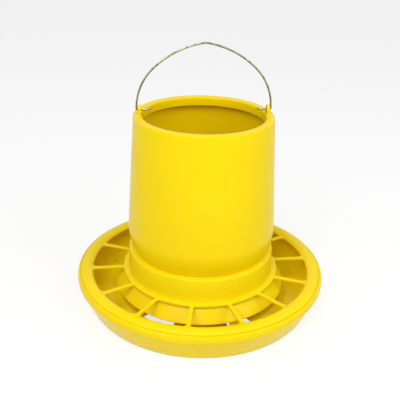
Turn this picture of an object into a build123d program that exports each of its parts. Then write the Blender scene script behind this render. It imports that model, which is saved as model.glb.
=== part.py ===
"""Hanging poultry feeder: a tapered hopper with a wire bail, on a feed pan with a spoked grille.

Four separate pieces in millimetres, standing on z = 0 with +Z up.
The bail's pivot runs along X and the feeder's front faces -Y.
Angles are in degrees, measured from +X towards +Y.
"""
import os
from math import asin, cos, degrees, radians, sin

from build123d import *

# Hopper wall
WALL = 2.4
RIM_RADIUS = 81.6
RIM_TOP = 238.0
SHOULDER_RADIUS = 91.0
SHOULDER_HEIGHT = 87.3
SHOULDER_ROUND = 50.0
HEEL_RADIUS = 82.6
HEEL_ROUND = 2.0
SEAT_HEIGHT = 69.0
SPIGOT_RADIUS = 76.0
SPIGOT_BOTTOM = 56.0
ROOT_ROUND = 1.0
EDGE_ROUND = 0.6

# Hopper rim, turned inwards and down
LIP_INNER_RADIUS = 71.6
LIP_BOTTOM = 227.0
LIP_OUTER_ROUND = 2.2
LIP_INNER_ROUND = 2.5

# Lugs that carry the bail
LUG_INNER_FACE = 72.4
LUG_THICKNESS = 3.2
LUG_HALF_WIDTH = 5.6
LUG_CENTRE_HEIGHT = 243.0
LUG_ROOT_HEIGHT = 236.2
PIVOT_HEIGHT = 242.8
PIVOT_HOLE_RADIUS = 1.16

# Bayonet between hopper and collar
BAYONET_COUNT = 3
BAYONET_ARC = 16.0
BAYONET_PHASE = 30.0
BAYONET_ROOT_RADIUS = 75.0
BAYONET_TIP_RADIUS = 78.5
BAYONET_TOP = 66.2
BAYONET_BOTTOM = 63.2
NOTCH_ARC = 20.0
NOTCH_TURN = 34.0
NOTCH_RADIUS = 78.9

# Bail, a bent wire: one half from the pin's tip to the apex
WIRE_RADIUS = 1.1
BAIL_TIP_LENGTH = 3.4
BAIL_TIP_ANGLE = 30.0
BAIL_TIP_BEND_RADIUS = 3.0
BAIL_PIN_INNER = 66.0
BAIL_PIN_OUTER = 75.75
BAIL_BEND_RADIUS = 1.6
BAIL_LEAN = 1.2
BAIL_FOOT_LENGTH = 1.7
BAIL_SIDE_RADIUS = 62.5
BAIL_SIDE_ANGLE = 44.2
BAIL_CROWN_ANGLE = 35.6
BAIL_APEX_RADIUS = 12.0

# Collar of the grille: a near-upright wall over the plate, a flaring skirt under it
COLLAR_WALL = 2.2
COLLAR_TOP_RADIUS = 90.0
COLLAR_TOP_ROUND = 2.0
COLLAR_WAIST_RADIUS = 91.6
COLLAR_WAIST_HEIGHT = 39.0
COLLAR_FOOT_RADIUS = 107.0
COLLAR_FOOT_HEIGHT = 20.0
COLLAR_EDGE_ROUND = 0.9
FLANGE_INNER_RADIUS = 76.3
FLANGE_THICKNESS = 2.5

# Spoked plate of the grille
SPOKE_COUNT = 14
SPOKE_WIDTH = 4.4
SPOKE_PHASE = -100.7
SPOKE_TOP = 39.6
SPOKE_BOTTOM = 36.8
WINDOW_INNER_RADIUS = 97.8
WINDOW_OUTER_RADIUS = 136.6
WINDOW_INNER_ROUND = 2.0
WINDOW_OUTER_ROUND = 5.0
PLATE_INNER_RADIUS = 96.6
PLATE_OUTER_RADIUS = 138.0
BEAD_ROOT_RADIUS = 91.0
BEAD_TOP = 40.0
BEAD_ROUND = 0.8

# Crowned outer ring of the grille: radius, height and rounding of each corner
RING_REST_HEIGHT = 38.6
RING_PROFILE = (
    (136.6, 39.4, 0.6),
    (139.0, 41.6, 4.0),
    (143.5, 43.0, 8.0),
    (148.0, 42.0, 6.0),
    (151.3, 40.0, 0.6),
    (151.3, RING_REST_HEIGHT, 0.0),
    (148.8, RING_REST_HEIGHT, 0.0),
    (148.8, 32.0, 0.6),
    (146.8, 32.0, 0.6),
    (146.8, 39.4, 0.6),
    (143.5, 40.3, 3.0),
    (139.6, 39.2, 0.6),
    (138.8, SPOKE_BOTTOM, 0.5),
    (136.6, SPOKE_BOTTOM, 0.5),
)

# Clip legs between collar and pan: radius and height of each corner
CLIP_COUNT = 3
CLIP_ARC = 8.5
CLIP_PHASE = -70.0
CLIP_PROFILE = (
    (98.2, 29.2),
    (98.2, 1.6),
    (100.9, 1.6),
    (102.4, 3.6),
    (102.4, 4.7),
    (100.6, 4.7),
    (100.6, 26.2),
)

# Feed pan: radius, height and rounding of each corner, floor from the middle outwards, then the rim
PAN_THICKNESS = 2.4
PAN_FLOOR_PROFILE = (
    (0.0, 50.0, 0.0),
    (5.0, 50.0, 3.0),
    (60.0, 7.4, 6.0),
    (104.0, 7.4, 3.0),
    (112.0, 2.4, 3.0),
    (139.2, 2.4, 3.0),
)
PAN_RIM_PROFILE = (
    (151.0, 30.0, 1.5),
    (149.4, 33.5, 1.5),
    (149.4, RING_REST_HEIGHT, 0.5),
    (151.9, RING_REST_HEIGHT, 0.3),
    (151.9, 39.4, 0.3),
    (153.8, 39.4, 1.4),
    (155.2, 36.4, 2.0),
    (155.2, 30.8, 1.0),
    (153.4, 29.2, 0.6),
    (141.0, 0.0, 3.2),
)

# Arc slots through the pan's raised floor: long ones, and between them shorter ones for the clips
SLOT_COUNT = 3
LONG_SLOT_ARC = 24.0
LONG_SLOT_PHASE = -126.0
CLIP_SLOT_ARC = 18.0
CLIP_SLOT_PHASE = -66.0
SLOT_INNER_RADIUS = 88.0
SLOT_OUTER_RADIUS = 101.0
SLOT_ROUND = 1.2


def parallel(corners, gap):
    """Open line of corners that runs beside another one, on the right of its direction."""
    moved = []
    for start, end in zip(corners[:-1], corners[1:]):
        along = Vector(end[0] - start[0], end[1] - start[1]).normalized()
        side = Vector(along.Y, -along.X) * gap
        moved.append((Vector(*start) + side, Vector(*end) + side, along))
    beside = [moved[0][0]]
    for (start, _, along), (other, _, turn) in zip(moved[:-1], moved[1:]):
        reach = (other - start).cross(turn).Z / along.cross(turn).Z
        beside.append(start + along * reach)
    beside.append(moved[-1][1])
    return [(corner.X, corner.Y) for corner in beside]


def with_rounds(corners, rounds):
    """Corners joined with their rounding radii."""
    return [(radius, height, rounding) for (radius, height), rounding in zip(corners, rounds)]


def profile_face(profile):
    """Flat face in the XZ plane from (radius, height, rounding) corners."""
    with BuildSketch(Plane.XZ) as flat:
        with BuildLine():
            Polyline(*[(radius, height) for radius, height, _ in profile], close=True)
        make_face()
        for radius, height, rounding in profile:
            if rounding > 0:
                corner = flat.vertices().sort_by_distance((radius, height))[0]
                fillet(corner, rounding)
    return flat.sketch


def turned(profile):
    """Solid turned about Z from (radius, height, rounding) corners."""
    return revolve(profile_face(profile), axis=Axis.Z)


def turned_pieces(profile, arc, phase, count):
    """Equal pieces of a turned solid, each spanning an arc about its own middle angle."""
    piece = revolve(profile_face(profile), axis=Axis.Z, revolution_arc=arc)
    first = phase - arc / 2
    return [piece.rotate(Axis.Z, first + index * 360 / count) for index in range(count)]


def polar(radius, angle):
    """Point in the XY plane at a radius and an angle."""
    return (radius * cos(radians(angle)), radius * sin(radians(angle)))


def sector_face(inner, outer, inner_reach, outer_reach, inner_round, outer_round):
    """Flat face about +X between two radii, reaching to plus and minus an angle at each radius."""
    with BuildSketch() as flat:
        with BuildLine():
            Line(polar(inner, -inner_reach), polar(outer, -outer_reach))
            ThreePointArc(polar(outer, -outer_reach), (outer, 0), polar(outer, outer_reach))
            Line(polar(outer, outer_reach), polar(inner, inner_reach))
            ThreePointArc(polar(inner, inner_reach), (inner, 0), polar(inner, -inner_reach))
        make_face()
        fillet(flat.vertices().group_by(Axis.X)[-1], outer_round)
        fillet(flat.vertices().group_by(Axis.X)[0], inner_round)
    return flat.sketch


def spread(solid, phase, count):
    """Equal solids about Z, the first turned from +X to the phase."""
    return [solid.rotate(Axis.Z, phase + index * 360 / count) for index in range(count)]


def bail_lug():
    """Upright ear on the rim at +X, bored for the bail's pin."""
    with BuildSketch(Plane.YZ.offset(LUG_INNER_FACE)) as ear:
        with Locations((0, LUG_CENTRE_HEIGHT)):
            Circle(LUG_HALF_WIDTH)
        with Locations((0, (LUG_CENTRE_HEIGHT + LUG_ROOT_HEIGHT) / 2)):
            Rectangle(2 * LUG_HALF_WIDTH, LUG_CENTRE_HEIGHT - LUG_ROOT_HEIGHT)
        with Locations((0, PIVOT_HEIGHT)):
            Circle(PIVOT_HOLE_RADIUS, mode=Mode.SUBTRACT)
    return extrude(ear.sketch, LUG_THICKNESS)


def hopper():
    """Tapered hopper with a turned-in rim, two bail lugs and a bayonet spigot."""
    outside = [
        (RIM_RADIUS, RIM_TOP),
        (SHOULDER_RADIUS, SHOULDER_HEIGHT),
        (HEEL_RADIUS, SEAT_HEIGHT),
        (SPIGOT_RADIUS, SEAT_HEIGHT),
        (SPIGOT_RADIUS, SPIGOT_BOTTOM),
    ]
    outside_rounds = [LIP_OUTER_ROUND, SHOULDER_ROUND, HEEL_ROUND, 0.0, EDGE_ROUND]
    inside = parallel(outside, WALL)
    inside_rounds = [ROOT_ROUND, SHOULDER_ROUND - WALL, HEEL_ROUND, ROOT_ROUND, EDGE_ROUND]
    cap_underside = RIM_TOP - WALL
    inside[0] = (RIM_RADIUS - WALL, cap_underside)
    skirt = [
        (LIP_INNER_RADIUS + WALL, cap_underside, ROOT_ROUND),
        (LIP_INNER_RADIUS + WALL, LIP_BOTTOM, EDGE_ROUND),
        (LIP_INNER_RADIUS, LIP_BOTTOM, EDGE_ROUND),
        (LIP_INNER_RADIUS, RIM_TOP, LIP_INNER_ROUND),
    ]
    walls = with_rounds(outside, outside_rounds) + with_rounds(inside, inside_rounds)[::-1]
    body = turned(walls + skirt)
    bayonet = (
        (BAYONET_ROOT_RADIUS, BAYONET_BOTTOM, 0.0),
        (BAYONET_TIP_RADIUS, BAYONET_BOTTOM, EDGE_ROUND),
        (BAYONET_TIP_RADIUS, BAYONET_TOP, EDGE_ROUND),
        (BAYONET_ROOT_RADIUS, BAYONET_TOP, 0.0),
    )
    body += turned_pieces(bayonet, BAYONET_ARC, BAYONET_PHASE, BAYONET_COUNT)
    return body + spread(bail_lug(), 0, 2)


def bail_half():
    """Centre line of one half of the bail, from the pin's inner tip to the apex."""
    crown_turn = BAIL_SIDE_ANGLE + BAIL_CROWN_ANGLE
    apex_turn = 90 + BAIL_LEAN + crown_turn
    with BuildLine(Plane.XZ) as half:
        pin = Line((BAIL_PIN_OUTER, PIVOT_HEIGHT), (BAIL_PIN_INNER, PIVOT_HEIGHT))
        tip = JernArc(pin @ 1, pin % 1, BAIL_TIP_BEND_RADIUS, -BAIL_TIP_ANGLE)
        Line(tip @ 1, (tip @ 1) + (tip % 1) * BAIL_TIP_LENGTH)
        bend = JernArc(pin @ 0, (pin % 0) * -1, BAIL_BEND_RADIUS, 90 + BAIL_LEAN)
        foot = Line(bend @ 1, (bend @ 1) + (bend % 1) * BAIL_FOOT_LENGTH)
        side = JernArc(foot @ 1, foot % 1, BAIL_SIDE_RADIUS, BAIL_SIDE_ANGLE)
        apex_reach = BAIL_APEX_RADIUS * sin(radians(apex_turn))
        crown_reach = sin(radians(90 + BAIL_LEAN + BAIL_SIDE_ANGLE)) - sin(radians(apex_turn))
        crown_radius = ((side @ 1).X - apex_reach) / crown_reach
        crown = JernArc(side @ 1, side % 1, crown_radius, BAIL_CROWN_ANGLE)
        JernArc(crown @ 1, crown % 1, BAIL_APEX_RADIUS, 180 - apex_turn)
    return half.line


def bail_handle():
    """Wire bail with its two pins and upturned tips."""
    half = bail_half()
    path = Wire(half.edges() + mirror(half, Plane.YZ).edges())
    section = Plane(origin=path @ 0, z_dir=path % 0) * Circle(WIRE_RADIUS)
    return sweep(section, path)


def window():
    """Cutter of one window of the grille, its sides parallel to the spokes beside it."""
    half_pitch = 180 / SPOKE_COUNT
    inner_reach = half_pitch - degrees(asin(SPOKE_WIDTH / 2 / WINDOW_INNER_RADIUS))
    outer_reach = half_pitch - degrees(asin(SPOKE_WIDTH / 2 / WINDOW_OUTER_RADIUS))
    face = sector_face(
        WINDOW_INNER_RADIUS,
        WINDOW_OUTER_RADIUS,
        inner_reach,
        outer_reach,
        WINDOW_INNER_ROUND,
        WINDOW_OUTER_ROUND,
    )
    return extrude(Plane.XY.offset(SPOKE_BOTTOM) * face, RING_PROFILE[2][1] - SPOKE_BOTTOM)


def anti_waste_grille():
    """Collar with a flaring skirt, spoked plate, crowned outer ring with its rib, and three clip legs."""
    collar_outside = [
        (COLLAR_TOP_RADIUS, SEAT_HEIGHT),
        (COLLAR_WAIST_RADIUS, COLLAR_WAIST_HEIGHT),
        (COLLAR_FOOT_RADIUS, COLLAR_FOOT_HEIGHT),
    ]
    inside_top, inside_waist, inside_foot = parallel(collar_outside, COLLAR_WALL)
    slope = (inside_waist[0] - inside_top[0]) / (inside_waist[1] - inside_top[1])
    flange_bottom = SEAT_HEIGHT - FLANGE_THICKNESS
    flange_root = inside_top[0] + (flange_bottom - inside_top[1]) * slope
    body = turned(
        (
            (COLLAR_TOP_RADIUS, SEAT_HEIGHT, COLLAR_TOP_ROUND),
            (COLLAR_WAIST_RADIUS, COLLAR_WAIST_HEIGHT, 0.0),
            (COLLAR_FOOT_RADIUS, COLLAR_FOOT_HEIGHT, COLLAR_EDGE_ROUND),
            (*inside_foot, COLLAR_EDGE_ROUND),
            (*inside_waist, 0.0),
            (flange_root, flange_bottom, EDGE_ROUND),
            (FLANGE_INNER_RADIUS, flange_bottom, 0.0),
            (FLANGE_INNER_RADIUS, SEAT_HEIGHT, 0.0),
        )
    )
    notch = (
        (SPIGOT_RADIUS, flange_bottom, 0.0),
        (NOTCH_RADIUS, flange_bottom, 0.0),
        (NOTCH_RADIUS, SEAT_HEIGHT, 0.0),
        (SPIGOT_RADIUS, SEAT_HEIGHT, 0.0),
    )
    body -= turned_pieces(notch, NOTCH_ARC, BAYONET_PHASE + NOTCH_TURN, BAYONET_COUNT)
    body += turned(
        (
            (BEAD_ROOT_RADIUS, SPOKE_BOTTOM, 0.0),
            (WINDOW_INNER_RADIUS, SPOKE_BOTTOM, 0.0),
            (WINDOW_INNER_RADIUS, BEAD_TOP, BEAD_ROUND),
            (BEAD_ROOT_RADIUS, BEAD_TOP, 0.0),
        )
    )
    body += turned(
        (
            (PLATE_INNER_RADIUS, SPOKE_BOTTOM, 0.0),
            (PLATE_OUTER_RADIUS, SPOKE_BOTTOM, 0.0),
            (PLATE_OUTER_RADIUS, SPOKE_TOP, 0.0),
            (PLATE_INNER_RADIUS, SPOKE_TOP, 0.0),
        )
    )
    body += turned(RING_PROFILE)
    body -= spread(window(), SPOKE_PHASE + 180 / SPOKE_COUNT, SPOKE_COUNT)
    clip = with_rounds(CLIP_PROFILE, (0.0,) * len(CLIP_PROFILE))
    return body + turned_pieces(clip, CLIP_ARC, CLIP_PHASE, CLIP_COUNT)


def floor_slot(arc):
    """Cutter of one slot of the pan's raised floor, about +X."""
    reach = arc / 2
    face = sector_face(
        SLOT_INNER_RADIUS,
        SLOT_OUTER_RADIUS,
        reach,
        reach,
        SLOT_ROUND,
        SLOT_ROUND,
    )
    raised_top = PAN_FLOOR_PROFILE[2][1]
    return extrude(face, raised_top)


def feed_pan():
    """Round pan with a rolled rim, a ring trough, a raised slotted floor and a spreader cone."""
    floor = [(radius, height) for radius, height, _ in PAN_FLOOR_PROFILE]
    floor_rounds = [rounding for _, _, rounding in PAN_FLOOR_PROFILE]
    underside = with_rounds(parallel(floor, PAN_THICKNESS), floor_rounds)
    body = turned(PAN_FLOOR_PROFILE + PAN_RIM_PROFILE + tuple(underside[::-1][1:]))
    for arc, phase in ((LONG_SLOT_ARC, LONG_SLOT_PHASE), (CLIP_SLOT_ARC, CLIP_SLOT_PHASE)):
        body -= spread(floor_slot(arc), phase, SLOT_COUNT)
    return body


PIECES = {
    "hopper": hopper,
    "bail_handle": bail_handle,
    "anti_waste_grille": anti_waste_grille,
    "feed_pan": feed_pan,
}

os.makedirs("parts", exist_ok=True)
for name, make in PIECES.items():
    export_step(make(), f"parts/{name}.step")
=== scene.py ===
"""Studio scene of a hanging poultry feeder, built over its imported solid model.

The hopper, the wire bail, the anti-waste grille and the feed pan are modelled again as fine
meshes in the solids' own places, dressed as moulded plastic and drawn wire, and set on a white
studio floor in front of the camera that took the photograph.
"""
import logging
from collections.abc import Callable, Iterable
from dataclasses import dataclass
from enum import Enum
from math import atan2, cos, degrees, pi, radians, sin, sqrt, tan

import bmesh
import bpy
from mathutils import Matrix, Vector


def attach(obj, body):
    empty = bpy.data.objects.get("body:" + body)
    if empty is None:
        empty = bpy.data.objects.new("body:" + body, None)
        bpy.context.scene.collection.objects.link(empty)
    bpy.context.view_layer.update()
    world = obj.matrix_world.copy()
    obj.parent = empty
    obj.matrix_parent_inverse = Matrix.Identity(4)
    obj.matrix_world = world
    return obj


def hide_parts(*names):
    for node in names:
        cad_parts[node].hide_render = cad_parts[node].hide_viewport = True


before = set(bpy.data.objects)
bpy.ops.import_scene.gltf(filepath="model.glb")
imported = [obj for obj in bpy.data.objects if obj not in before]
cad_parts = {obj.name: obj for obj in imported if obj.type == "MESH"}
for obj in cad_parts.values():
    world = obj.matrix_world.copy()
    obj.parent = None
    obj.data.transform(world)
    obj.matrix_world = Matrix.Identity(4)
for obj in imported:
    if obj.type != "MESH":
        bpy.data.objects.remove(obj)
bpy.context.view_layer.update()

MM = 0.001
PLACE_TOLERANCE = 0.03 * MM

log = logging.getLogger("poultry_feeder")


class Body(Enum):
    """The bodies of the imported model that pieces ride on."""

    FEEDER = "feeder"
    BAIL = "bail"


class Node(Enum):
    """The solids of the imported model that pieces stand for."""

    HOPPER = "hopper"
    BAIL_HANDLE = "bail_handle"
    GRILLE = "anti_waste_grille"
    PAN = "feed_pan"


class Slot(Enum):
    """The record's material slots."""

    HOPPER = "hopper_plastic"
    WIRE = "bail_wire"
    GRILLE = "grille_plastic"
    PAN = "pan_plastic"


@dataclass(frozen=True)
class Corner:
    """A corner of a turned profile, in millimetres.

    Args:
        radius: Distance from the upright axis.
        height: Height above the floor.
        rounding: Radius that rounds the corner, or 0 for a sharp one.
    """

    radius: float
    height: float
    rounding: float = 0.0


class Bench:
    """Modelling steps that more than one piece takes."""

    @staticmethod
    def clear() -> None:
        """Leaves edit mode and selects nothing."""
        if bpy.context.object is not None and bpy.context.object.mode != "OBJECT":
            bpy.ops.object.mode_set(mode="OBJECT")
        bpy.ops.object.select_all(action="DESELECT")

    @staticmethod
    def begin(name: str) -> bpy.types.Object:
        """Takes the primitive just added, names it, bakes its place and opens it for editing.

        Args:
            name: Name for the object and its mesh.

        Returns:
            The object, in edit mode with all of it selected.
        """
        piece = bpy.context.active_object
        piece.name = name
        piece.data.name = name
        bpy.ops.object.transform_apply(location=True, rotation=True, scale=True)
        bpy.ops.object.mode_set(mode="EDIT")
        bpy.ops.mesh.select_all(action="SELECT")
        return piece

    @staticmethod
    def pick(
        piece: bpy.types.Object,
        kind: str,
        wanted: Callable[[object], bool],
    ) -> int:
        """Selects the vertices, edges or faces that a test accepts, and nothing else.

        Args:
            piece: The object in edit mode.
            kind: VERT, EDGE or FACE.
            wanted: Test that takes one of them.

        Returns:
            How many were selected.
        """
        bpy.ops.mesh.select_mode(type=kind)
        bpy.ops.mesh.select_all(action="DESELECT")
        mesh = bmesh.from_edit_mesh(piece.data)
        items = {"VERT": mesh.verts, "EDGE": mesh.edges, "FACE": mesh.faces}[kind]
        count = 0
        for item in items:
            if wanted(item):
                item.select_set(True)
                count += 1
        mesh.select_flush_mode()
        bmesh.update_edit_mesh(piece.data)
        return count

    @staticmethod
    def pick_ring(piece: bpy.types.Object, corner: Corner) -> int:
        """Selects the ring of edges that runs round at a corner of a turned profile.

        Args:
            piece: The object in edit mode.
            corner: The corner that the ring runs through.

        Returns:
            How many edges were selected.
        """
        radius = corner.radius * MM
        height = corner.height * MM

        def on_ring(vertex: bmesh.types.BMVert) -> bool:
            """Tells if a vertex lies at the corner."""
            place = vertex.co
            away = abs(sqrt(place.x**2 + place.y**2) - radius)
            return away < PLACE_TOLERANCE and abs(place.z - height) < PLACE_TOLERANCE

        return Bench.pick(piece, "EDGE", lambda edge: all(on_ring(v) for v in edge.verts))

    @staticmethod
    def reach(before: Corner, here: Corner, after: Corner) -> float:
        """Distance from a corner at which its rounding starts, in millimetres.

        Args:
            before: The corner before.
            here: The corner that is rounded.
            after: The corner after.

        Returns:
            The length that the rounding takes of each side.
        """
        arriving = atan2(here.height - before.height, here.radius - before.radius)
        leaving = atan2(after.height - here.height, after.radius - here.radius)
        turn = abs((leaving - arriving + pi) % (2 * pi) - pi)
        return here.rounding * tan(turn / 2)

    @staticmethod
    def inner(before: Corner, here: Corner, after: Corner, wall: float, rounding: float) -> Corner:
        """Corner of a wall's inner face, beside a corner of its outer face that runs downwards.

        Args:
            before: The outer corner before.
            here: The outer corner.
            after: The outer corner after.
            wall: Thickness of the wall in millimetres.
            rounding: Radius that rounds the inner corner.

        Returns:
            The inner corner.
        """
        arriving = atan2(here.height - before.height, here.radius - before.radius)
        leaving = atan2(after.height - here.height, after.radius - here.radius)
        middle = (arriving + leaving) / 2
        away = wall / cos((leaving - arriving) / 2)
        return Corner(here.radius + away * sin(middle), here.height - away * cos(middle), rounding)

    @staticmethod
    def turned(name: str, corners: tuple[Corner, ...], segments: int, ring_shaped: bool) -> bpy.types.Object:
        """Turns a profile about the upright axis by extruding a ring of edges from corner to corner.

        Args:
            name: Name for the object.
            corners: The profile's corners in order.
            segments: Steps round the axis.
            ring_shaped: True where the last corner joins the first, False where both ends meet the axis.

        Returns:
            The closed solid, in object mode.
        """
        Bench.clear()
        first = corners[0]
        bpy.ops.mesh.primitive_circle_add(
            vertices=segments,
            radius=first.radius * MM,
            location=(0, 0, first.height * MM),
        )
        piece = Bench.begin(name)
        if not ring_shaped:
            bpy.ops.mesh.edge_face_add()
            bpy.ops.mesh.poke()
            Bench.pick_ring(piece, first)
        last = first
        stops = corners[1:] + ((first,) if ring_shaped else ())
        for corner in stops:
            growth = corner.radius / last.radius
            bpy.ops.mesh.extrude_edges_move(
                TRANSFORM_OT_translate={"value": (0, 0, (corner.height - last.height) * MM)}
            )
            bpy.ops.transform.resize(value=(growth, growth, 1), center_override=(0, 0, 0))
            last = corner
        if not ring_shaped:
            bpy.ops.mesh.edge_face_add()
            bpy.ops.mesh.poke()
        bpy.ops.mesh.select_all(action="SELECT")
        bpy.ops.mesh.remove_doubles(threshold=PLACE_TOLERANCE / 3)
        count = len(corners)
        for index, corner in enumerate(corners):
            if corner.rounding > 0:
                before = corners[index - 1]
                after = corners[(index + 1) % count]
                if not ring_shaped and index == 0:
                    before = Corner(0.0, corner.height)
                if not ring_shaped and index == count - 1:
                    after = Corner(0.0, corner.height)
                Bench.pick_ring(piece, corner)
                bpy.ops.mesh.bevel(
                    offset=Bench.reach(before, corner, after) * MM,
                    segments=10 if corner.rounding > 20 else 5,
                    affect="EDGES",
                )
        Bench.close(piece)
        return piece

    @staticmethod
    def block(
        name: str,
        radii: tuple[float, float],
        heights: tuple[float, float],
        arc: float,
        phase: float,
    ) -> bpy.types.Object:
        """Spins an upright rectangle about the axis into a curved block.

        Args:
            name: Name for the object.
            radii: Inner and outer radius, in millimetres.
            heights: Lower and upper height, in millimetres.
            arc: Angle that the block spans, in degrees.
            phase: Angle of the block's middle from +X towards +Y, in degrees.

        Returns:
            The closed block, in object mode.
        """
        Bench.clear()
        bpy.ops.mesh.primitive_plane_add(
            size=1,
            location=(sum(radii) / 2 * MM, 0, sum(heights) / 2 * MM),
            rotation=(radians(90), 0, 0),
        )
        bpy.context.active_object.scale = ((radii[1] - radii[0]) * MM, (heights[1] - heights[0]) * MM, 1)
        piece = Bench.begin(name)
        bpy.ops.mesh.spin(steps=8, angle=radians(arc), center=(0, 0, 0), axis=(0, 0, 1))
        bpy.ops.mesh.select_all(action="SELECT")
        bpy.ops.mesh.remove_doubles(threshold=PLACE_TOLERANCE / 3)
        Bench.close(piece)
        middle = sum((vertex.co for vertex in piece.data.vertices), Vector()) / len(piece.data.vertices)
        Bench.turn_to(piece, radians(phase) - atan2(middle.y, middle.x))
        return piece

    @staticmethod
    def close(piece: bpy.types.Object) -> None:
        """Points all faces outwards and leaves edit mode.

        Args:
            piece: The object in edit mode.
        """
        bpy.ops.mesh.select_mode(type="FACE")
        bpy.ops.mesh.select_all(action="SELECT")
        bpy.ops.mesh.normals_make_consistent(inside=False)
        bpy.ops.object.mode_set(mode="OBJECT")
        piece.data.update()

    @staticmethod
    def turn_to(piece: bpy.types.Object, angle: float) -> None:
        """Turns a piece's mesh about the upright axis.

        Args:
            piece: The object, in object mode.
            angle: Angle in radians.
        """
        piece.data.transform(Matrix.Rotation(angle, 4, "Z"))

    @staticmethod
    def copies(piece: bpy.types.Object, count: int) -> list[bpy.types.Object]:
        """Copies a piece evenly round the upright axis, each copy with its own mesh.

        Args:
            piece: The object at the first place.
            count: How many there are in all.

        Returns:
            All of them, the first included.
        """
        made = [piece]
        for index in range(1, count):
            twin = piece.copy()
            twin.data = piece.data.copy()
            bpy.context.collection.objects.link(twin)
            Bench.turn_to(twin, 2 * pi * index / count)
            made.append(twin)
        return made

    @staticmethod
    def soften(piece: bpy.types.Object, width: float, segments: int = 3) -> None:
        """Rounds a piece's sharp edges with an applied bevel.

        Args:
            piece: The object, in object mode.
            width: Width of the rounding in millimetres.
            segments: Steps across the rounding.
        """
        Bench.clear()
        bpy.context.view_layer.objects.active = piece
        piece.select_set(True)
        bevel = piece.modifiers.new("rounded_edges", "BEVEL")
        bevel.width = width * MM
        bevel.segments = segments
        bevel.limit_method = "ANGLE"
        bevel.angle_limit = radians(40)
        bpy.ops.object.modifier_apply(modifier=bevel.name)

    @staticmethod
    def join(main: bpy.types.Object, others: Iterable[bpy.types.Object]) -> bpy.types.Object:
        """Joins other objects into one.

        Args:
            main: The object that is kept.
            others: The objects that become part of it.

        Returns:
            The kept object.
        """
        Bench.clear()
        for other in others:
            other.select_set(True)
        main.select_set(True)
        bpy.context.view_layer.objects.active = main
        bpy.ops.object.join()
        return main

    @staticmethod
    def smooth(piece: bpy.types.Object) -> None:
        """Shades a piece smooth up to the angle of a real edge.

        Args:
            piece: The object, in object mode.
        """
        Bench.clear()
        bpy.context.view_layer.objects.active = piece
        piece.select_set(True)
        bpy.ops.object.shade_smooth_by_angle(angle=radians(32))


class Effects:
    """Node groups that the finishes share."""

    @staticmethod
    def _socket(group: bpy.types.NodeTree, name: str, side: str, kind: str) -> None:
        """Adds a named socket to a node group."""
        group.interface.new_socket(name=name, in_out=side, socket_type=kind)

    @staticmethod
    def moulded_skin() -> bpy.types.NodeTree:
        """Colour drift, rubbed sheen and fine skin of a moulded plastic surface.

        Returns:
            The node group, made once.
        """
        name = "moulded_skin"
        if name in bpy.data.node_groups:
            return bpy.data.node_groups[name]
        group = bpy.data.node_groups.new(name, "ShaderNodeTree")
        Effects._socket(group, "Position", "INPUT", "NodeSocketVector")
        Effects._socket(group, "Colour", "INPUT", "NodeSocketColor")
        Effects._socket(group, "Deep Colour", "INPUT", "NodeSocketColor")
        Effects._socket(group, "Sheen Low", "INPUT", "NodeSocketFloat")
        Effects._socket(group, "Sheen High", "INPUT", "NodeSocketFloat")
        Effects._socket(group, "Skin Depth", "INPUT", "NodeSocketFloat")
        Effects._socket(group, "Colour", "OUTPUT", "NodeSocketColor")
        Effects._socket(group, "Roughness", "OUTPUT", "NodeSocketFloat")
        Effects._socket(group, "Normal", "OUTPUT", "NodeSocketVector")
        nodes = group.nodes
        links = group.links
        given = nodes.new("NodeGroupInput")
        result = nodes.new("NodeGroupOutput")

        drift = nodes.new("ShaderNodeTexNoise")
        drift.inputs["Scale"].default_value = 16.0
        drift.inputs["Detail"].default_value = 3.0
        links.new(given.outputs["Position"], drift.inputs["Vector"])
        drift_range = nodes.new("ShaderNodeMapRange")
        drift_range.inputs["From Min"].default_value = 0.35
        drift_range.inputs["From Max"].default_value = 0.7
        links.new(drift.outputs["Fac"], drift_range.inputs["Value"])
        blend = nodes.new("ShaderNodeMix")
        blend.data_type = "RGBA"
        links.new(drift_range.outputs["Result"], blend.inputs["Factor"])
        links.new(given.outputs["Colour"], blend.inputs["A"])
        links.new(given.outputs["Deep Colour"], blend.inputs["B"])
        links.new(blend.outputs["Result"], result.inputs["Colour"])

        rub = nodes.new("ShaderNodeTexNoise")
        rub.inputs["Scale"].default_value = 55.0
        rub.inputs["Detail"].default_value = 6.0
        rub.inputs["Roughness"].default_value = 0.65
        links.new(given.outputs["Position"], rub.inputs["Vector"])
        sheen = nodes.new("ShaderNodeMapRange")
        sheen.inputs["From Min"].default_value = 0.3
        sheen.inputs["From Max"].default_value = 0.75
        links.new(rub.outputs["Fac"], sheen.inputs["Value"])
        links.new(given.outputs["Sheen Low"], sheen.inputs["To Min"])
        links.new(given.outputs["Sheen High"], sheen.inputs["To Max"])
        links.new(sheen.outputs["Result"], result.inputs["Roughness"])

        ripple = nodes.new("ShaderNodeTexNoise")
        ripple.inputs["Scale"].default_value = 95.0
        ripple.inputs["Detail"].default_value = 2.0
        links.new(given.outputs["Position"], ripple.inputs["Vector"])
        peel = nodes.new("ShaderNodeTexNoise")
        peel.inputs["Scale"].default_value = 1300.0
        peel.inputs["Detail"].default_value = 1.0
        links.new(given.outputs["Position"], peel.inputs["Vector"])
        skin = nodes.new("ShaderNodeMath")
        skin.operation = "MULTIPLY_ADD"
        skin.inputs[1].default_value = 0.12
        links.new(peel.outputs["Fac"], skin.inputs[0])
        links.new(ripple.outputs["Fac"], skin.inputs[2])
        depth = nodes.new("ShaderNodeMath")
        depth.operation = "MULTIPLY"
        links.new(skin.outputs["Value"], depth.inputs[0])
        links.new(given.outputs["Skin Depth"], depth.inputs[1])
        bump = nodes.new("ShaderNodeBump")
        bump.inputs["Strength"].default_value = 0.35
        bump.inputs["Distance"].default_value = 0.0002
        links.new(depth.outputs["Value"], bump.inputs["Height"])
        links.new(bump.outputs["Normal"], result.inputs["Normal"])
        return group


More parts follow.
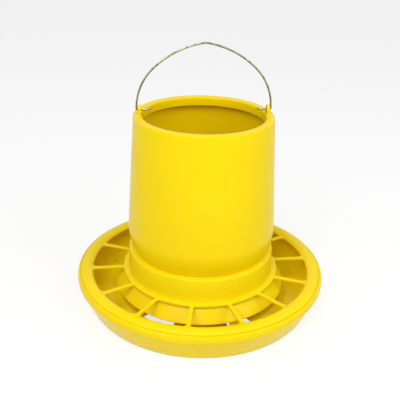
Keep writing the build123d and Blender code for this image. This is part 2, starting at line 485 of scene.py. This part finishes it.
@dataclass(frozen=True)
class MouldedPlastic:
    """Semi-gloss moulded plastic.

    Args:
        name: Name of the material.
        colour: Linear colour of the plastic.
        deep_colour: Linear colour where the pigment lies denser.
        sheen_low: Roughness of the shiniest places.
        sheen_high: Roughness of the dullest places.
        skin_depth: Share of the full skin texture.
        shine: Level of the mirror reflection seen head-on.
    """

    name: str
    colour: tuple[float, float, float]
    deep_colour: tuple[float, float, float]
    sheen_low: float
    sheen_high: float
    skin_depth: float
    shine: float = 0.12

    def material(self) -> bpy.types.Material:
        """Builds the material.

        Returns:
            The node material.
        """
        made = bpy.data.materials.new(self.name)
        made.use_nodes = True
        nodes = made.node_tree.nodes
        links = made.node_tree.links
        shader = nodes["Principled BSDF"]
        shader.inputs["IOR"].default_value = 1.49
        shader.inputs["Specular IOR Level"].default_value = self.shine
        place = nodes.new("ShaderNodeTexCoord")
        skin = nodes.new("ShaderNodeGroup")
        skin.node_tree = Effects.moulded_skin()
        skin.inputs["Colour"].default_value = (*self.colour, 1)
        skin.inputs["Deep Colour"].default_value = (*self.deep_colour, 1)
        skin.inputs["Sheen Low"].default_value = self.sheen_low
        skin.inputs["Sheen High"].default_value = self.sheen_high
        skin.inputs["Skin Depth"].default_value = self.skin_depth
        links.new(place.outputs["Object"], skin.inputs["Position"])
        links.new(skin.outputs["Colour"], shader.inputs["Base Color"])
        links.new(skin.outputs["Roughness"], shader.inputs["Roughness"])
        links.new(skin.outputs["Normal"], shader.inputs["Normal"])
        return made


@dataclass(frozen=True)
class DrawnWire:
    """Drawn steel wire with a thin yellowish coating.

    Args:
        name: Name of the material.
        bright: Linear colour of the rubbed metal.
        dull: Linear colour of the coating.
        roughness: Middle roughness.
    """

    name: str
    bright: tuple[float, float, float]
    dull: tuple[float, float, float]
    roughness: float

    def material(self) -> bpy.types.Material:
        """Builds the material.

        Returns:
            The node material.
        """
        made = bpy.data.materials.new(self.name)
        made.use_nodes = True
        nodes = made.node_tree.nodes
        links = made.node_tree.links
        shader = nodes["Principled BSDF"]
        shader.inputs["Metallic"].default_value = 1.0
        place = nodes.new("ShaderNodeTexCoord")
        patches = nodes.new("ShaderNodeTexNoise")
        patches.inputs["Scale"].default_value = 180.0
        patches.inputs["Detail"].default_value = 5.0
        links.new(place.outputs["Object"], patches.inputs["Vector"])
        tint = nodes.new("ShaderNodeValToRGB")
        tint.color_ramp.elements[0].position = 0.38
        tint.color_ramp.elements[0].color = (*self.dull, 1)
        tint.color_ramp.elements[1].position = 0.68
        tint.color_ramp.elements[1].color = (*self.bright, 1)
        links.new(patches.outputs["Fac"], tint.inputs["Fac"])
        links.new(tint.outputs["Color"], shader.inputs["Base Color"])
        gloss = nodes.new("ShaderNodeMapRange")
        gloss.inputs["To Min"].default_value = self.roughness + 0.1
        gloss.inputs["To Max"].default_value = self.roughness - 0.1
        links.new(patches.outputs["Fac"], gloss.inputs["Value"])
        links.new(gloss.outputs["Result"], shader.inputs["Roughness"])
        scores = nodes.new("ShaderNodeTexNoise")
        scores.inputs["Scale"].default_value = 2600.0
        scores.inputs["Detail"].default_value = 2.0
        links.new(place.outputs["Object"], scores.inputs["Vector"])
        bump = nodes.new("ShaderNodeBump")
        bump.inputs["Strength"].default_value = 0.25
        bump.inputs["Distance"].default_value = 0.00005
        links.new(scores.outputs["Fac"], bump.inputs["Height"])
        links.new(bump.outputs["Normal"], shader.inputs["Normal"])
        return made


HOPPER_YELLOW = MouldedPlastic("hopper_yellow", (0.93, 0.70, 0.003), (0.92, 0.68, 0.002), 0.26, 0.36, 0.5)
GRILLE_YELLOW = MouldedPlastic("grille_yellow", (0.95, 0.74, 0.006), (0.94, 0.72, 0.004), 0.26, 0.36, 0.5)
PAN_YELLOW = MouldedPlastic("pan_yellow", (0.94, 0.71, 0.003), (0.93, 0.69, 0.002), 0.24, 0.34, 0.6)
BAIL_STEEL = DrawnWire("bail_steel", (0.50, 0.47, 0.30), (0.22, 0.20, 0.09), 0.32)


@dataclass
class Hopper:
    """Tapered hopper with its turned-in rim, bail lugs and bayonet. Sizes in millimetres."""

    wall: float = 2.4
    rim_radius: float = 81.6
    rim_top: float = 238.0
    seat_height: float = 69.0
    spigot_radius: float = 76.0
    spigot_bottom: float = 56.0
    lip_inner_radius: float = 71.6
    lip_bottom: float = 227.0
    lug_inner_face: float = 72.4
    lug_thickness: float = 3.2
    lug_half_width: float = 5.6
    lug_centre_height: float = 243.0
    lug_root_height: float = 236.4
    pivot_height: float = 242.8
    pivot_hole_radius: float = 1.16
    bayonet_radii: tuple[float, float] = (75.0, 78.5)
    bayonet_heights: tuple[float, float] = (63.2, 66.2)
    bayonet_arc: float = 16.0
    bayonet_phase: float = 30.0
    segments: int = 256

    def corners(self) -> tuple[Corner, ...]:
        """Profile from the rim down the outside and back up the inside."""
        inner_spigot = self.spigot_radius - self.wall
        lip_outer = self.lip_inner_radius + self.wall
        return (
            Corner(self.rim_radius, self.rim_top, 2.2),
            Corner(91.0, 87.3, 50.0),
            Corner(82.6, self.seat_height, 2.0),
            Corner(self.spigot_radius, self.seat_height),
            Corner(self.spigot_radius, self.spigot_bottom, 0.6),
            Corner(inner_spigot, self.spigot_bottom, 0.6),
            Corner(inner_spigot, self.seat_height + self.wall, 1.0),
            Corner(81.06, self.seat_height + self.wall, 2.0),
            Corner(88.57, 87.76, 47.6),
            Corner(self.rim_radius - self.wall, self.rim_top - self.wall, 1.0),
            Corner(lip_outer, self.rim_top - self.wall, 1.0),
            Corner(lip_outer, self.lip_bottom, 0.6),
            Corner(self.lip_inner_radius, self.lip_bottom, 0.6),
            Corner(self.lip_inner_radius, self.rim_top, 2.5),
        )

    def lug(self) -> bpy.types.Object:
        """Ear at +X: a bored disc whose lower half is drawn down into the rim.

        Returns:
            The closed ear with rounded edges.
        """
        Bench.clear()
        upright = (0, radians(90), 0)
        bpy.ops.mesh.primitive_circle_add(
            vertices=48,
            radius=self.lug_half_width * MM,
            location=(self.lug_inner_face * MM, 0, self.lug_centre_height * MM),
            rotation=upright,
        )
        piece = Bench.begin("bail_lug")
        Bench.pick(piece, "VERT", lambda vertex: vertex.co.z < self.lug_centre_height * MM - PLACE_TOLERANCE)
        bpy.ops.transform.resize(value=(1, 1, 0), center_override=(0, 0, self.lug_root_height * MM))
        bpy.ops.mesh.select_all(action="DESELECT")
        bpy.ops.mesh.primitive_circle_add(
            vertices=48,
            radius=self.pivot_hole_radius * MM,
            location=(self.lug_inner_face * MM, 0, self.pivot_height * MM),
            rotation=upright,
        )
        bpy.ops.mesh.select_all(action="SELECT")
        bpy.ops.mesh.bridge_edge_loops()
        bpy.ops.mesh.select_all(action="SELECT")
        bpy.ops.mesh.extrude_region_move(
            TRANSFORM_OT_translate={"value": (self.lug_thickness * MM, 0, 0)}
        )
        Bench.close(piece)
        Bench.soften(piece, 0.45)
        return piece

    def build(self) -> bpy.types.Object:
        """Models the hopper.

        Returns:
            The finished mesh.
        """
        shell = Bench.turned("hopper_shell", self.corners(), self.segments, ring_shaped=True)
        lugs = Bench.copies(self.lug(), 2)
        bayonet = Bench.block(
            "bayonet",
            self.bayonet_radii,
            self.bayonet_heights,
            self.bayonet_arc,
            self.bayonet_phase,
        )
        Bench.soften(bayonet, 0.5)
        return Bench.join(shell, lugs + Bench.copies(bayonet, 3))


@dataclass
class BailHandle:
    """Wire bail, bent from one length. Sizes in millimetres and degrees."""

    wire_radius: float = 1.1
    pivot_height: float = 242.8
    tip_length: float = 3.4
    tip_angle: float = 30.0
    tip_bend_radius: float = 3.0
    pin_inner: float = 66.0
    pin_outer: float = 75.75
    bend_radius: float = 1.6
    lean: float = 1.2
    foot_length: float = 1.7
    side_radius: float = 62.5
    side_angle: float = 44.2
    crown_angle: float = 35.6
    apex_radius: float = 12.0
    sides: int = 20

    def crown_radius(self) -> float:
        """Radius of the crown that brings both halves together over the middle."""
        side_start = 90 + self.lean
        side_end = side_start + self.side_angle
        crown_end = side_end + self.crown_angle
        reach = self.pin_outer
        reach += self.bend_radius * sin(radians(side_start))
        reach += self.foot_length * cos(radians(side_start))
        reach += self.side_radius * (sin(radians(side_end)) - sin(radians(side_start)))
        reach -= self.apex_radius * sin(radians(crown_end))
        return reach / (sin(radians(side_end)) - sin(radians(crown_end)))

    def build(self) -> bpy.types.Object:
        """Bends the wire: straight runs are extruded and bends are spun, then it is mirrored.

        Returns:
            The finished mesh.
        """
        Bench.clear()
        bpy.ops.mesh.primitive_circle_add(
            vertices=self.sides,
            radius=self.wire_radius * MM,
            location=(0, 0, 0),
            rotation=(0, radians(90), 0),
        )
        piece = Bench.begin("bail_wire")
        heading = -self.tip_angle
        run = Vector((cos(radians(heading)), 0, sin(radians(heading))))
        bend_drop = self.tip_bend_radius * (1 - cos(radians(self.tip_angle)))
        bend_run = self.tip_bend_radius * sin(radians(self.tip_angle))
        here = Vector((self.pin_inner * MM, 0, self.pivot_height * MM))
        here += Vector((-bend_run * MM, 0, bend_drop * MM)) - run * self.tip_length * MM
        bpy.ops.transform.rotate(
            value=radians(-heading),
            orient_axis="Y",
            center_override=(0, 0, 0),
        )
        bpy.ops.transform.translate(value=here)
        tilt = self._ring_normal(piece)
        if abs(tilt.x * run.z - tilt.z * run.x) > 0.01:
            bpy.ops.transform.rotate(
                value=radians(2 * heading),
                orient_axis="Y",
                center_override=here,
            )
        bpy.ops.mesh.edge_face_add()
        bpy.ops.mesh.inset(thickness=0.25 * MM)
        bpy.ops.transform.translate(value=run * -0.25 * MM)
        self._pick_rim(piece, here, run)
        here, run = self._straight(here, run, self.tip_length)
        here, run = self._bend(here, run, self.tip_bend_radius, self.tip_angle, 6)
        here, run = self._straight(here, run, self.pin_outer - self.pin_inner)
        here, run = self._bend(here, run, self.bend_radius, 90 + self.lean, 12)
        here, run = self._straight(here, run, self.foot_length)
        here, run = self._bend(here, run, self.side_radius, self.side_angle, 24)
        here, run = self._bend(here, run, self.crown_radius(), self.crown_angle, 24)
        last_turn = 90 - self.lean - self.side_angle - self.crown_angle
        here, run = self._bend(here, run, self.apex_radius, last_turn, 6)
        log.info("bail apex at x %.3f mm, z %.2f mm", here.x / MM, here.z / MM)
        bpy.ops.object.mode_set(mode="OBJECT")
        mirror = piece.modifiers.new("other_half", "MIRROR")
        mirror.use_axis = (True, False, False)
        mirror.use_clip = True
        mirror.merge_threshold = 0.05 * MM
        bpy.ops.object.modifier_apply(modifier=mirror.name)
        bpy.ops.object.mode_set(mode="EDIT")
        Bench.close(piece)
        return piece

    @staticmethod
    def _ring_normal(piece: bpy.types.Object) -> Vector:
        """Direction across the open ring of the wire's first end."""
        mesh = bmesh.from_edit_mesh(piece.data)
        places = [vertex.co.copy() for vertex in mesh.verts]
        middle = sum(places, Vector()) / len(places)
        return (places[0] - middle).cross(places[len(places) // 4] - middle).normalized()

    def _pick_rim(self, piece: bpy.types.Object, here: Vector, run: Vector) -> None:
        """Selects the full-size ring of edges at the wire's first end."""

        def on_rim(vertex: bmesh.types.BMVert) -> bool:
            """Tells if a vertex lies on the ring."""
            offset = vertex.co - here
            return abs(offset.dot(run)) < PLACE_TOLERANCE and offset.length > self.wire_radius * 0.9 * MM

        Bench.pick(piece, "EDGE", lambda edge: all(on_rim(v) for v in edge.verts))

    @staticmethod
    def _straight(here: Vector, run: Vector, length: float) -> tuple[Vector, Vector]:
        """Extrudes the selected ring along a straight run.

        Args:
            here: Middle of the ring.
            run: Direction of the wire.
            length: Length in millimetres.

        Returns:
            The new middle and the direction.
        """
        step = run * length * MM
        bpy.ops.mesh.extrude_edges_move(TRANSFORM_OT_translate={"value": step})
        return here + step, run

    @staticmethod
    def _bend(here: Vector, run: Vector, radius: float, angle: float, steps: int) -> tuple[Vector, Vector]:
        """Spins the selected ring round a bend that turns left, seen from the front.

        Args:
            here: Middle of the ring.
            run: Direction of the wire.
            radius: Radius of the centre line in millimetres.
            angle: Angle of the bend in degrees.
            steps: Steps along it.

        Returns:
            The new middle and direction.
        """
        left = Vector((-run.z, 0, run.x))
        centre = here + left * radius * MM
        bpy.ops.mesh.spin(steps=steps, angle=radians(angle), center=centre, axis=(0, 1, 0))
        turn = Matrix.Rotation(radians(-angle), 3, "Y")
        return centre + turn @ (here - centre), turn @ run


@dataclass
class Grille:
    """Collar with a flaring skirt, a spoked plate and a crowned outer ring. Sizes in millimetres and degrees."""

    collar_wall: float = 2.2
    seat_height: float = 69.0
    collar_top_radius: float = 90.0
    collar_waist_radius: float = 91.6
    collar_waist_height: float = 39.0
    collar_foot_radius: float = 107.0
    collar_foot_height: float = 20.0
    flange_inner_radius: float = 76.3
    flange_thickness: float = 2.5
    spoke_count: int = 14
    spoke_width: float = 4.4
    spoke_phase: float = -100.7
    spoke_top: float = 39.6
    spoke_bottom: float = 36.8
    window_inner_radius: float = 97.8
    window_outer_radius: float = 136.6
    window_inner_round: float = 2.0
    window_outer_round: float = 5.0
    bead_root_radius: float = 91.0
    bead_top: float = 40.0
    ring_rest_height: float = 38.6
    clip_radii: tuple[float, float] = (98.2, 100.6)
    clip_heights: tuple[float, float] = (1.6, 27.6)
    barb_heights: tuple[float, float] = (1.6, 4.7)
    barb_tip_radius: float = 102.4
    clip_arc: float = 8.5
    clip_phase: float = -70.0
    segments: int = 280

    def collar_corners(self) -> tuple[Corner, ...]:
        """Profile of the collar's wall, its flaring skirt and its top flange."""
        top = Corner(self.collar_top_radius, self.seat_height, 2.0)
        waist = Corner(self.collar_waist_radius, self.collar_waist_height)
        foot = Corner(self.collar_foot_radius, self.collar_foot_height, 0.9)
        beyond = Corner(2 * foot.radius - waist.radius, 2 * foot.height - waist.height)
        inner_waist = Bench.inner(top, waist, foot, self.collar_wall, 0.0)
        inner_foot = Bench.inner(waist, foot, beyond, self.collar_wall, 0.9)
        flange_bottom = self.seat_height - self.flange_thickness
        slope = (waist.radius - top.radius) / (waist.height - top.height)
        root = inner_waist.radius + (flange_bottom - inner_waist.height) * slope
        return (
            top,
            waist,
            foot,
            inner_foot,
            inner_waist,
            Corner(root, flange_bottom, 0.6),
            Corner(self.flange_inner_radius, flange_bottom),
            Corner(self.flange_inner_radius, self.seat_height),
        )

    def bead_corners(self) -> tuple[Corner, ...]:
        """Profile of the bead round the collar, where the spokes start."""
        return (
            Corner(self.bead_root_radius, self.spoke_bottom),
            Corner(self.window_inner_radius, self.spoke_bottom, 0.5),
            Corner(self.window_inner_radius, self.bead_top, 0.8),
            Corner(self.bead_root_radius, self.bead_top),
        )

    def ring_corners(self) -> tuple[Corner, ...]:
        """Profile of the crowned outer ring and its locating rib."""
        return (
            Corner(self.window_outer_radius, 39.4, 0.6),
            Corner(139.0, 41.6, 4.0),
            Corner(143.5, 43.0, 8.0),
            Corner(148.0, 42.0, 6.0),
            Corner(151.3, 40.0, 0.6),
            Corner(151.3, self.ring_rest_height),
            Corner(148.8, self.ring_rest_height),
            Corner(148.8, 32.0, 0.6),
            Corner(146.8, 32.0, 0.6),
            Corner(146.8, 39.4, 0.6),
            Corner(143.5, 40.3, 3.0),
            Corner(139.6, 39.2, 0.6),
            Corner(138.8, self.spoke_bottom, 0.5),
            Corner(self.window_outer_radius, self.spoke_bottom, 0.5),
        )

    def half_width(self, radius: float) -> float:
        """Half of a spoke's width, which flares into the bead and the ring.

        Args:
            radius: Distance from the axis in millimetres.

        Returns:
            The half width in millimetres.
        """
        half = self.spoke_width / 2
        outer_start = self.window_outer_radius - self.window_outer_round
        inner_start = self.window_inner_radius + self.window_inner_round
        if radius > outer_start:
            depth = min(radius - outer_start, self.window_outer_round)
            return half + self.window_outer_round - sqrt(self.window_outer_round**2 - depth**2)
        if radius < inner_start:
            depth = min(inner_start - radius, self.window_inner_round)
            return half + self.window_inner_round - sqrt(self.window_inner_round**2 - depth**2)
        return half

    def spoke(self) -> bpy.types.Object:
        """One spoke, extruded outwards and widened at both ends.

        Returns:
            The closed spoke with rounded edges, turned to its first place.
        """
        outer_start = self.window_outer_radius - self.window_outer_round
        inner_start = self.window_inner_radius + self.window_inner_round
        stops = [96.6, self.window_inner_radius]
        stops += [inner_start - self.window_inner_round * cos(radians(angle)) for angle in (22, 45, 68)]
        stops += [inner_start, outer_start]
        stops += [outer_start + self.window_outer_round * sin(radians(angle)) for angle in (15, 30, 45, 60, 75)]
        stops += [self.window_outer_radius, 137.6]
        Bench.clear()
        bpy.ops.mesh.primitive_plane_add(
            size=1,
            location=(stops[0] * MM, 0, (self.spoke_top + self.spoke_bottom) / 2 * MM),
            rotation=(0, radians(90), 0),
        )
        width = self.half_width(stops[0])
        bpy.context.active_object.scale = ((self.spoke_top - self.spoke_bottom) * MM, 2 * width * MM, 1)
        piece = Bench.begin("grille_spoke")
        for before, after in zip(stops[:-1], stops[1:]):
            bpy.ops.mesh.extrude_region_move(TRANSFORM_OT_translate={"value": ((after - before) * MM, 0, 0)})
            next_width = self.half_width(after)
            bpy.ops.transform.resize(value=(1, next_width / width, 1), center_override=(0, 0, 0))
            width = next_width
        Bench.close(piece)
        Bench.soften(piece, 0.5)
        Bench.turn_to(piece, radians(self.spoke_phase))
        return piece

    def clip(self) -> bpy.types.Object:
        """One clip leg with its barb.

        Returns:
            The closed leg at its first place.
        """
        leg = Bench.block("clip_leg", self.clip_radii, self.clip_heights, self.clip_arc, self.clip_phase)
        Bench.clear()
        bpy.context.view_layer.objects.active = leg
        leg.select_set(True)
        bpy.ops.object.mode_set(mode="EDIT")
        bpy.ops.mesh.select_all(action="SELECT")
        bpy.ops.mesh.bisect(plane_co=(0, 0, self.barb_heights[1] * MM), plane_no=(0, 0, 1))
        limit = self.barb_heights[1] * MM

        def outward_foot(face: bmesh.types.BMFace) -> bool:
            """Tells if a face is on the foot and looks away from the axis."""
            middle = face.calc_center_median()
            away = Vector((middle.x, middle.y, 0)).normalized()
            return middle.z < limit and face.normal.dot(away) > 0.9

        Bench.pick(leg, "FACE", outward_foot)
        growth = self.barb_tip_radius / self.clip_radii[1]
        bpy.ops.mesh.extrude_region_move(TRANSFORM_OT_translate={"value": (0, 0, 0)})
        bpy.ops.transform.resize(value=(growth, growth, 1), center_override=(0, 0, 0))
        tip = (self.barb_tip_radius - 0.5) * MM
        floor = self.barb_heights[0] * MM + PLACE_TOLERANCE
        Bench.pick(leg, "VERT", lambda vertex: vertex.co.xy.length > tip and vertex.co.z < floor)
        back = (self.clip_radii[1] + 0.3) / self.barb_tip_radius
        bpy.ops.transform.resize(value=(back, back, 1), center_override=(0, 0, 0))
        Bench.close(leg)
        Bench.soften(leg, 0.25, 2)
        return leg

    def build(self) -> bpy.types.Object:
        """Models the grille.

        Returns:
            The finished mesh.
        """
        collar = Bench.turned("grille_collar", self.collar_corners(), self.segments, ring_shaped=True)
        bead = Bench.turned("grille_bead", self.bead_corners(), self.segments, ring_shaped=True)
        ring = Bench.turned("grille_ring", self.ring_corners(), self.segments, ring_shaped=True)
        spokes = Bench.copies(self.spoke(), self.spoke_count)
        clips = Bench.copies(self.clip(), 3)
        return Bench.join(collar, [bead, ring] + spokes + clips)


@dataclass
class FeedPan:
    """Round pan with a ring trough and a slotted, raised floor. Sizes in millimetres and degrees."""

    thickness: float = 2.4
    trough_floor: float = 2.4
    raised_floor: float = 7.4
    cone_top: float = 50.0
    ring_rest_height: float = 38.6
    slot_count: int = 3
    long_slot_arc: float = 24.0
    long_slot_phase: float = -126.0
    clip_slot_arc: float = 18.0
    clip_slot_phase: float = -66.0
    slot_inner_radius: float = 88.0
    slot_outer_radius: float = 101.0
    segments: int = 360

    def corners(self) -> tuple[Corner, ...]:
        """Profile from the cone's tip out to the rim and back under the floor."""
        raised = self.raised_floor
        under = self.raised_floor - self.thickness
        return (
            Corner(5.0, self.cone_top, 3.0),
            Corner(60.0, raised, 6.0),
            Corner(self.slot_inner_radius, raised),
            Corner(self.slot_outer_radius, raised),
            Corner(104.0, raised, 3.0),
            Corner(112.0, self.trough_floor, 3.0),
            Corner(139.2, self.trough_floor, 3.0),
            Corner(151.0, 30.0, 1.5),
            Corner(149.4, 33.5, 1.5),
            Corner(149.4, self.ring_rest_height, 0.5),
            Corner(151.9, self.ring_rest_height, 0.3),
            Corner(151.9, 39.4, 0.3),
            Corner(153.8, 39.4, 1.4),
            Corner(155.2, 36.4, 2.0),
            Corner(155.2, 30.8, 1.0),
            Corner(153.4, 29.2, 0.6),
            Corner(141.0, 0.0, 3.2),
            Corner(111.31, 0.0, 3.0),
            Corner(103.31, under, 1.8),
            Corner(self.slot_outer_radius, under),
            Corner(self.slot_inner_radius, under),
            Corner(59.17, under, 6.0),
            Corner(4.17, self.cone_top - self.thickness, 3.0),
        )

    def slots(self) -> list[tuple[float, float]]:
        """Middle angle and arc of every slot, in degrees: the long ones, then the clips' ones."""
        kinds = ((self.long_slot_phase, self.long_slot_arc), (self.clip_slot_phase, self.clip_slot_arc))
        pitch = 360 / self.slot_count
        return [(phase + index * pitch, arc) for phase, arc in kinds for index in range(self.slot_count)]

    def cut_slots(self, piece: bpy.types.Object) -> None:
        """Opens the arc slots through the raised floor.

        Args:
            piece: The turned pan, with rings of edges at both radii of the slots.
        """
        Bench.clear()
        bpy.context.view_layer.objects.active = piece
        piece.select_set(True)
        bpy.ops.object.mode_set(mode="EDIT")
        low = (self.raised_floor - self.thickness) * MM - PLACE_TOLERANCE
        high = self.raised_floor * MM + PLACE_TOLERANCE
        slots = self.slots()

        def in_slot(face: bmesh.types.BMFace) -> bool:
            """Tells if a face of the raised floor lies inside a slot."""
            middle = face.calc_center_median()
            if not self.slot_inner_radius * MM < middle.xy.length < self.slot_outer_radius * MM:
                return False
            if abs(face.normal.z) < 0.9 or not low < middle.z < high:
                return False
            angle = degrees(atan2(middle.y, middle.x))
            return any(abs((angle - centre + 180) % 360 - 180) < arc / 2 for centre, arc in slots)

        count = Bench.pick(piece, "FACE", in_slot)
        bpy.ops.mesh.delete(type="FACE")
        for centre, _ in slots:
            self._bridge_slot(piece, Vector((cos(radians(centre)), sin(radians(centre)))))
        log.info("slots cut from %d faces", count)
        Bench.close(piece)

    def _bridge_slot(self, piece: bpy.types.Object, towards: Vector) -> None:
        """Joins the open edges of one slot's top and underside.

        Args:
            piece: The pan in edit mode.
            towards: Direction of the slot's middle from the axis.
        """

        def open_here(edge: bmesh.types.BMEdge) -> bool:
            """Tells if an edge is open and belongs to this slot."""
            middle = (edge.verts[0].co + edge.verts[1].co) / 2
            return edge.is_boundary and middle.xy.normalized().dot(towards) > cos(radians(25))

        Bench.pick(piece, "EDGE", open_here)
        bpy.ops.mesh.bridge_edge_loops()

    def build(self) -> bpy.types.Object:
        """Models the pan.

        Returns:
            The finished mesh.
        """
        pan = Bench.turned("pan_body", self.corners(), self.segments, ring_shaped=False)
        Bench.turn_to(pan, radians(self.long_slot_phase))
        self.cut_slots(pan)
        return pan


class Dresser:
    """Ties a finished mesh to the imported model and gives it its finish."""

    @staticmethod
    def dress(
        piece: bpy.types.Object,
        name: str,
        node: Node,
        body: Body,
        slot: Slot,
        material: bpy.types.Material,
    ) -> None:
        """Names, dresses and hangs a piece on its body.

        Args:
            piece: The finished mesh.
            name: Name of the piece.
            node: The solid that it stands for.
            body: The body that it rides on.
            slot: The record's slot that its finish belongs to; not used.
            material: Its material.
        """
        piece.name = name
        piece.data.name = name
        piece.data.materials.clear()
        piece.data.materials.append(material)
        Bench.smooth(piece)
        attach(piece, body.value)
        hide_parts(node.value)
        log.info("%s: %d faces on %s", name, len(piece.data.polygons), body.value)


@dataclass
class Studio:
    """White floor, white surroundings and soft plain light. Sizes in metres."""

    floor_size: float = 8.0
    floor_albedo: float = 0.82
    seen_albedo: float = 0.28
    seen_glow: float = 0.74
    world_light: float = 0.45
    key_energy: float = 17.0
    fill_energy: float = 9.0
    lamp_size: float = 1.1

    def world(self) -> None:
        """Surroundings that light the feeder evenly and look white to the camera and in reflections."""
        world = bpy.data.worlds.new("white_surroundings")
        bpy.context.scene.world = world
        world.use_nodes = True
        nodes = world.node_tree.nodes
        links = world.node_tree.links
        background = nodes["Background"]
        background.inputs["Color"].default_value = (1, 1, 1, 1)
        strength = nodes.new("ShaderNodeMapRange")
        strength.inputs["To Min"].default_value = self.world_light
        strength.inputs["To Max"].default_value = 1.0
        links.new(self._seen(nodes, links), strength.inputs["Value"])
        links.new(strength.outputs["Result"], background.inputs["Strength"])

    @staticmethod
    def _seen(nodes: bpy.types.Nodes, links: bpy.types.NodeLinks) -> bpy.types.NodeSocket:
        """Mask that is 1 for rays from the camera, from reflections and through glass."""
        rays = nodes.new("ShaderNodeLightPath")
        mask = rays.outputs["Is Camera Ray"]
        for kind in ("Is Glossy Ray", "Is Transmission Ray"):
            either = nodes.new("ShaderNodeMath")
            either.operation = "MAXIMUM"
            links.new(mask, either.inputs[0])
            links.new(rays.outputs[kind], either.inputs[1])
            mask = either.outputs["Value"]
        return mask

    def floor(self) -> None:
        """White floor that looks white where it is lit and keeps the feeder's shadow."""
        Bench.clear()
        bpy.ops.mesh.primitive_plane_add(size=self.floor_size, location=(0, 0, -0.0004))
        floor = bpy.context.active_object
        floor.name = "studio_floor"
        paper = bpy.data.materials.new("white_paper")
        paper.use_nodes = True
        nodes = paper.node_tree.nodes
        links = paper.node_tree.links
        shader = nodes["Principled BSDF"]
        shader.inputs["Roughness"].default_value = 0.9
        shader.inputs["Specular IOR Level"].default_value = 0.0
        shader.inputs["Emission Color"].default_value = (1, 1, 1, 1)
        seen = self._seen(nodes, links)
        shade = nodes.new("ShaderNodeMix")
        shade.data_type = "RGBA"
        shade.inputs["A"].default_value = (self.floor_albedo,) * 3 + (1,)
        shade.inputs["B"].default_value = (self.seen_albedo,) * 3 + (1,)
        links.new(seen, shade.inputs["Factor"])
        links.new(shade.outputs["Result"], shader.inputs["Base Color"])
        glow = nodes.new("ShaderNodeMapRange")
        glow.inputs["To Max"].default_value = self.seen_glow
        links.new(seen, glow.inputs["Value"])
        links.new(glow.outputs["Result"], shader.inputs["Emission Strength"])
        floor.data.materials.append(paper)

    def lamp(self, name: str, energy: float, size: float, place: tuple[float, float, float]) -> None:
        """Soft square lamp that looks at the middle of the feeder.

        Args:
            name: Name of the lamp.
            energy: Power in watts.
            size: Side in metres.
            place: Position in metres.
        """
        light = bpy.data.lights.new(name, "AREA")
        light.energy = energy
        light.size = size
        lamp = bpy.data.objects.new(name, light)
        bpy.context.collection.objects.link(lamp)
        lamp.location = place
        aim = Vector((0, 0, 0.13)) - Vector(place)
        lamp.rotation_euler = aim.to_track_quat("-Z", "Y").to_euler()

    def build(self) -> None:
        """Builds the floor, the surroundings and the lamps."""
        self.world()
        self.floor()
        self.lamp("key_lamp", self.key_energy, self.lamp_size, (-0.55, -1.05, 1.45))
        self.lamp("fill_lamp", self.fill_energy, self.lamp_size, (1.05, -0.85, 1.15))


@dataclass
class PhotoCamera:
    """The photograph's camera, fitted to the feeder's own outline. Sizes in metres and degrees."""

    distance: float = 0.72896
    elevation: float = 25.103
    azimuth: float = -6.0
    aim_side: float = -0.00213
    aim_height: float = 0.12799
    lens: float = 53.306
    roll: float = 1.4612

    def build(self) -> None:
        """Adds the camera and makes it the scene's own."""
        rise = radians(self.elevation)
        place = Vector((0, -self.distance * cos(rise), self.aim_height + self.distance * sin(rise)))
        aim = Vector((self.aim_side, 0, self.aim_height))
        orbit = Matrix.Rotation(radians(self.azimuth), 3, "Z")
        place = orbit @ place
        aim = orbit @ aim
        data = bpy.data.cameras.new("photo_camera")
        data.sensor_width = 36.0
        data.lens = self.lens
        camera = bpy.data.objects.new("photo_camera", data)
        bpy.context.collection.objects.link(camera)
        camera.location = place
        facing = (aim - place).to_track_quat("-Z", "Y").to_euler()
        facing.rotate_axis("Z", radians(self.roll))
        camera.rotation_euler = facing
        bpy.context.scene.camera = camera


def save_sizes() -> None:
    """Updates the view layer."""
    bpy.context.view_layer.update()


def main() -> None:
    """Builds the feeder's pieces in order, then the studio and the camera."""
    logging.basicConfig(level=logging.INFO)
    bpy.context.scene.view_settings.view_transform = "Standard"
    hopper = Hopper().build()
    Dresser.dress(hopper, "hopper_moulding", Node.HOPPER, Body.FEEDER, Slot.HOPPER, HOPPER_YELLOW.material())
    bail = BailHandle().build()
    Dresser.dress(bail, "bail_wire", Node.BAIL_HANDLE, Body.BAIL, Slot.WIRE, BAIL_STEEL.material())
    grille = Grille().build()
    Dresser.dress(grille, "grille_moulding", Node.GRILLE, Body.FEEDER, Slot.GRILLE, GRILLE_YELLOW.material())
    pan = FeedPan().build()
    Dresser.dress(pan, "pan_moulding", Node.PAN, Body.FEEDER, Slot.PAN, PAN_YELLOW.material())
    Studio().build()
    PhotoCamera().build()
    save_sizes()


if __name__ == "__main__":
    main()
